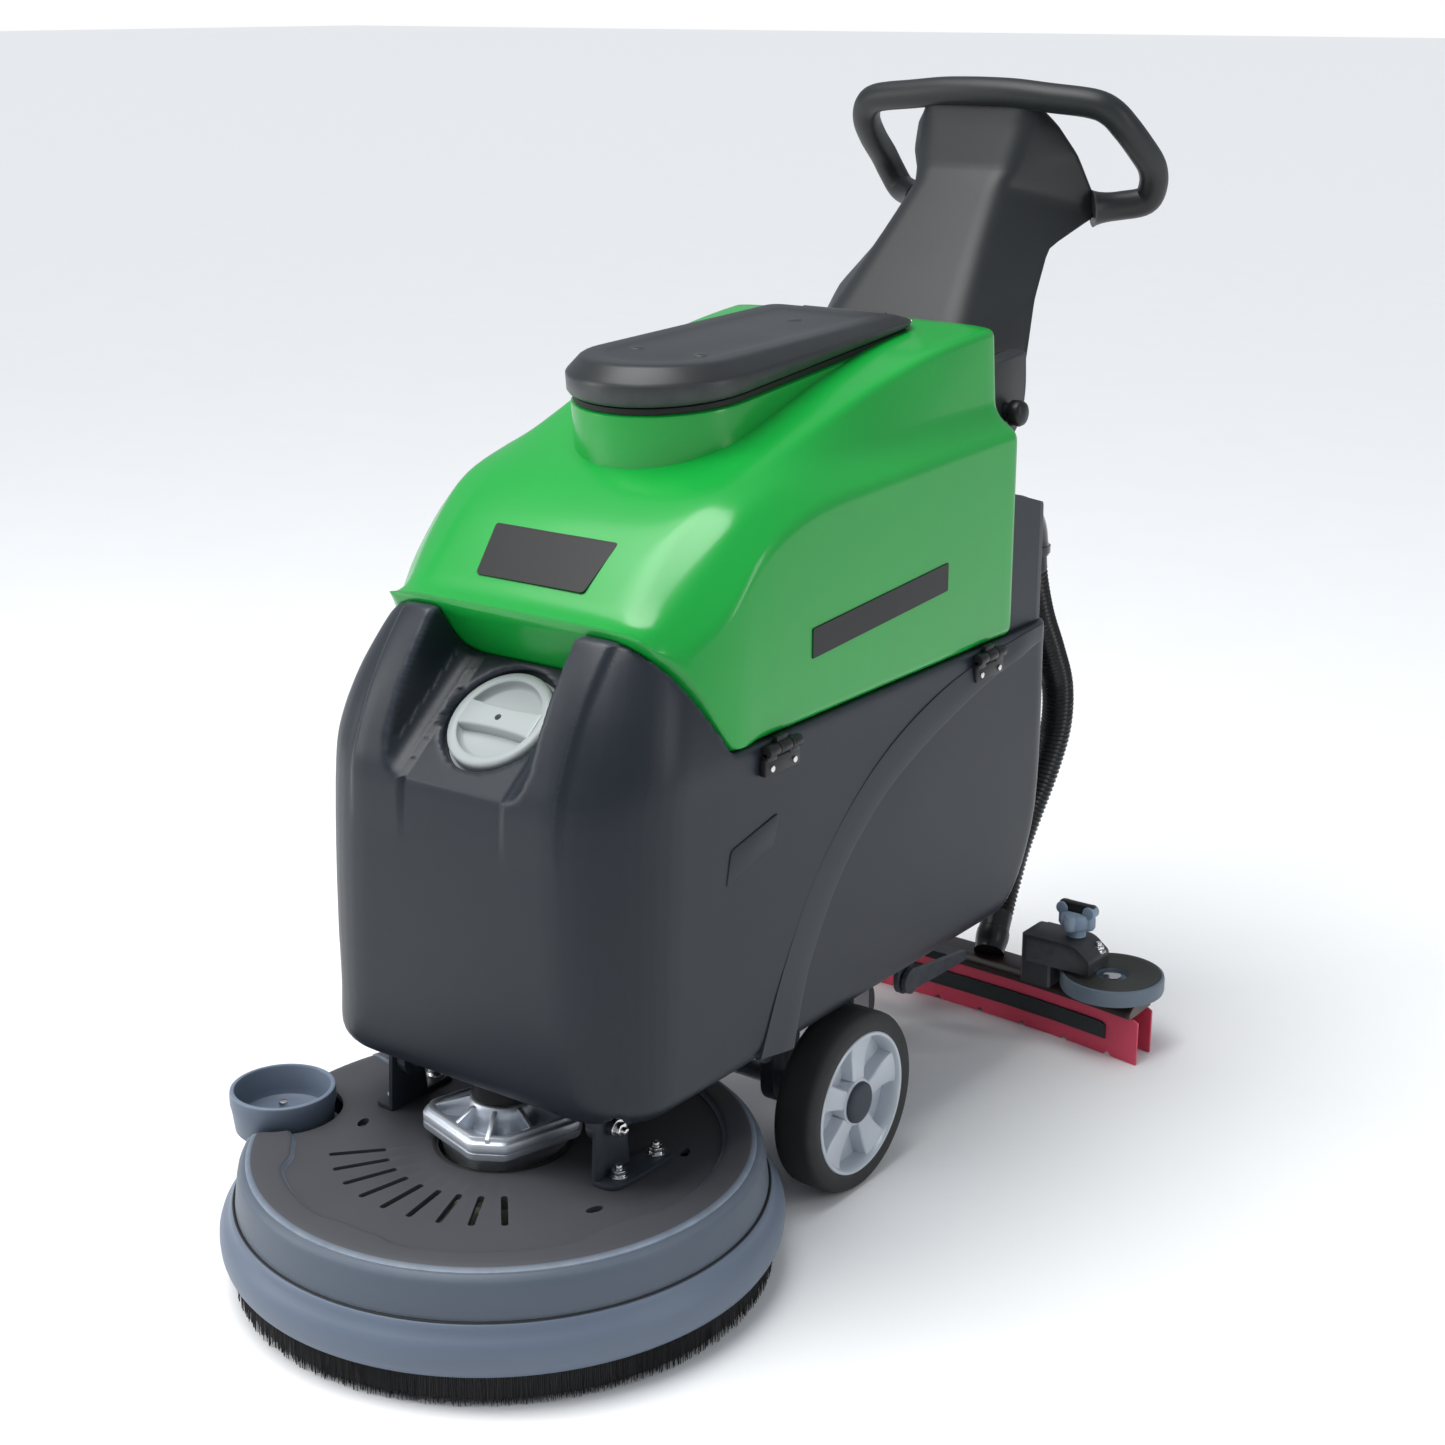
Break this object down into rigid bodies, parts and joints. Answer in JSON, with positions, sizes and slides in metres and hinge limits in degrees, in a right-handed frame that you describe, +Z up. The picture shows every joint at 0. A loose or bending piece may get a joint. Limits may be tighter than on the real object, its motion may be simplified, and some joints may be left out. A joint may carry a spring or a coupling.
{
  "type": "walk-behind floor scrubber",
  "caption": "Walk-behind battery floor scrubber with a round brush deck, tilting recovery tank, hinged handle, curved rear squeegee and suction hose.",
  "frame": {"origin": "on the floor, under the middle of the machine's bounding box (the suction hose left out)", "axes": "+Z up, -Y the way the machine drives forward, +X the operator's right seen from the front, the machine's left side"},
  "size_m": [0.628, 1.2281, 1.0832],
  "materials": {
    "tank_grey": "satin",
    "tank_green": "gloss",
    "lid_grey": "satin",
    "handle_grey": "satin",
    "black_plastic": "satin",
    "cap_grey": "satin",
    "deck_grey": "satin",
    "skirt_grey": "satin",
    "bristle": "fibrous",
    "brush_nylon": "fibrous",
    "cast_metal": "cast",
    "steel": "powder coated",
    "bright_steel": "polished",
    "tyre": "moulded",
    "rim": "silver",
    "rubber": "matt",
    "blade": "smooth",
    "channel": "satin",
    "knob_blue": "satin",
    "wheel_grey": "matt",
    "white_plastic": "satin",
    "label": "gloss",
    "display": "gloss",
    "switch_green": "gloss",
    "switch_blue": "gloss",
    "lever_red": "satin",
    "motor": "satin",
    "battery": "matt"
  },
  "bodies": {
    "chassis": {"solution_tank": "tank_grey", "filler_neck": "cap_grey", "frame": "steel", "batteries": "battery", "vacuum_motor": "motor", "axle_shaft": "bright_steel", "rear_column": "tank_grey", "hose_elbow": "black_plastic", "tank_hinges": "black_plastic", "water_valve": "white_plastic", "handle_knobs": "black_plastic", "suction_hose": "black_plastic"},
    "wheel_left": {"tyre_left": "tyre", "rim_left": "rim", "hub_cap_left": "black_plastic"},
    "wheel_right": {"tyre_right": "tyre", "rim_right": "rim", "hub_cap_right": "black_plastic"},
    "caster": {"caster_fork": "bright_steel"},
    "caster_roller": {"caster_wheel": "wheel_grey"},
    "lift_arms": {"lift_arms": "steel"},
    "deck": {"deck_cover": "deck_grey", "deck_side": "deck_grey", "splash_skirt": "skirt_grey", "skirt_bristles": "bristle", "gearbox": "cast_metal", "brush_motor": "motor", "deck_brackets": "steel", "deck_bolts": "bright_steel", "cup_post": "bright_steel"},
    "brush": {"brush_disc": "white_plastic", "brush_bristles": "brush_nylon"},
    "guide_cup": {"guide_cup": "skirt_grey"},
    "recovery_tank": {"recovery_tank": "tank_green", "lid_gasket": "rubber", "label_plates": "label", "float_cage": "white_plastic"},
    "float_ball": {"float_ball": "white_plastic"},
    "lid": {"tank_lid": "lid_grey"},
    "handle": {"handle_neck": "handle_grey", "handle_grip": "handle_grey", "control_panel": "label", "battery_gauge": "display"},
    "key": {"key_switch": "bright_steel"},
    "brush_rocker": {"brush_switch": "switch_green"},
    "vacuum_rocker": {"vacuum_switch": "switch_blue"},
    "water_knob": {"water_knob": "black_plastic"},
    "start_lever": {"start_lever": "lever_red"},
    "filler_cap": {"filler_cap": "cap_grey"},
    "squeegee_arm": {"squeegee_arm": "steel"},
    "squeegee": {"squeegee_body": "channel", "squeegee_blades": "blade", "clamp_strips": "black_plastic", "squeegee_nozzle": "black_plastic"},
    "roller_left": {"roller_left": "wheel_grey"},
    "roller_right": {"roller_right": "wheel_grey"},
    "adjuster_left": {"adjuster_left": "knob_blue"},
    "adjuster_right": {"adjuster_right": "knob_blue"},
    "deck_pedal": {"deck_pedal": "steel"},
    "squeegee_pedal": {"squeegee_pedal": "steel"}
  },
  "joints": [
    {"name": "wheel_left_roll", "type": "hinge", "parent": "chassis", "child": "wheel_left", "pos_m": [0.183, -0.028, 0.095], "axis": [1, 0, 0], "continuous": true},
    {"name": "wheel_right_roll", "type": "hinge", "parent": "chassis", "child": "wheel_right", "pos_m": [-0.183, -0.028, 0.095], "axis": [1, 0, 0], "continuous": true},
    {"name": "caster_swivel", "type": "hinge", "parent": "chassis", "child": "caster", "pos_m": [0, 0.234, 0.13], "axis": [0, 0, 1], "continuous": true},
    {"name": "caster_roll", "type": "hinge", "parent": "caster", "child": "caster_roller", "pos_m": [0, 0.26, 0.04], "axis": [1, 0, 0], "continuous": true},
    {"name": "deck_lift", "type": "hinge", "parent": "chassis", "child": "lift_arms", "pos_m": [0, -0.094, 0.167], "axis": [-1, 0, 0], "range_deg": [0, 7]},
    {"name": "deck_level", "type": "hinge", "parent": "lift_arms", "child": "deck", "pos_m": [0, -0.34, 0.176], "axis": [1, 0, 0], "range_deg": [0, 7]},
    {"name": "brush_spin", "type": "hinge", "parent": "deck", "child": "brush", "pos_m": [0, -0.343, 0.07], "axis": [0, 0, 1], "continuous": true},
    {"name": "cup_spin", "type": "hinge", "parent": "deck", "child": "guide_cup", "pos_m": [-0.218, -0.421, 0.12], "axis": [0, 0, 1], "continuous": true},
    {"name": "tank_tilt", "type": "hinge", "parent": "chassis", "child": "recovery_tank", "pos_m": [0.2016, 0.02, 0.513], "axis": [0, 1, 0], "range_deg": [0, 75]},
    {"name": "float_rise", "type": "slide", "parent": "recovery_tank", "child": "float_ball", "axis": [0, 0, 1], "range_m": [0, 0.055]},
    {"name": "lid_open", "type": "hinge", "parent": "recovery_tank", "child": "lid", "pos_m": [0, 0.23007, 0.84977], "axis": [-1, 0, 0], "range_deg": [0, 85]},
    {"name": "handle_tilt", "type": "hinge", "parent": "chassis", "child": "handle", "pos_m": [0, 0.332, 0.745], "axis": [1, 0, 0], "range_deg": [-12, 12]},
    {"name": "key_turn", "type": "hinge", "parent": "handle", "child": "key", "pos_m": [-0.056, 0.55751, 0.98688], "axis": [0, 0.8536, 0.521], "range_deg": [0, 90]},
    {"name": "brush_switch_rock", "type": "hinge", "parent": "handle", "child": "brush_rocker", "pos_m": [0.018, 0.55544, 0.98797], "axis": [1, 0, 0], "range_deg": [-8, 8]},
    {"name": "vacuum_switch_rock", "type": "hinge", "parent": "handle", "child": "vacuum_rocker", "pos_m": [0.052, 0.55544, 0.98797], "axis": [1, 0, 0], "range_deg": [-8, 8]},
    {"name": "water_knob_turn", "type": "hinge", "parent": "handle", "child": "water_knob", "pos_m": [-0.018, 0.55751, 0.98688], "axis": [0, 0.8536, 0.521], "range_deg": [0, 270]},
    {"name": "start_lever_press", "type": "hinge", "parent": "handle", "child": "start_lever", "pos_m": [0, 0.58006, 0.95378], "axis": [-1, 0, 0], "range_deg": [0, 16], "stiffness_Nm_per_rad": 2, "springref_deg": -17.19},
    {"name": "filler_cap_lift", "type": "slide", "parent": "chassis", "child": "filler_cap", "axis": [0, -0.6157, 0.788], "range_m": [0, 0.06]},
    {"name": "squeegee_lift", "type": "hinge", "parent": "chassis", "child": "squeegee_arm", "pos_m": [0, 0.264, 0.095], "axis": [1, 0, 0], "range_deg": [0, 10], "deforming": ["suction_hose"]},
    {"name": "squeegee_swing", "type": "hinge", "parent": "squeegee_arm", "child": "squeegee", "pos_m": [0, 0.416, 0.08], "axis": [0, 0, 1], "range_deg": [-8, 8]},
    {"name": "roller_left_spin", "type": "hinge", "parent": "squeegee", "child": "roller_left", "pos_m": [0.254, 0.429, 0.08], "axis": [0, 0, 1], "continuous": true},
    {"name": "roller_right_spin", "type": "hinge", "parent": "squeegee", "child": "roller_right", "pos_m": [-0.254, 0.429, 0.08], "axis": [0, 0, 1], "continuous": true},
    {"name": "adjuster_left_turn", "type": "hinge", "parent": "squeegee", "child": "adjuster_left", "pos_m": [0.208, 0.424, 0.14], "axis": [0, 0, 1], "continuous": true},
    {"name": "adjuster_right_turn", "type": "hinge", "parent": "squeegee", "child": "adjuster_right", "pos_m": [-0.208, 0.424, 0.14], "axis": [0, 0, 1], "continuous": true},
    {"name": "deck_pedal_press", "type": "hinge", "parent": "chassis", "child": "deck_pedal", "pos_m": [-0.141, 0.294, 0.196], "axis": [-1, 0, 0], "range_deg": [0, 10.5]},
    {"name": "squeegee_pedal_press", "type": "hinge", "parent": "chassis", "child": "squeegee_pedal", "pos_m": [-0.124, 0.294, 0.196], "axis": [-1, 0, 0], "range_deg": [0, 12]}
  ],
  "couplings": [
    {"joint": "deck_level", "follows": "deck_lift", "ratio": 1},
    {"joint": "deck_pedal_press", "follows": "deck_lift", "ratio": 1.5},
    {"joint": "squeegee_pedal_press", "follows": "squeegee_lift", "ratio": 1.2}
  ]
}
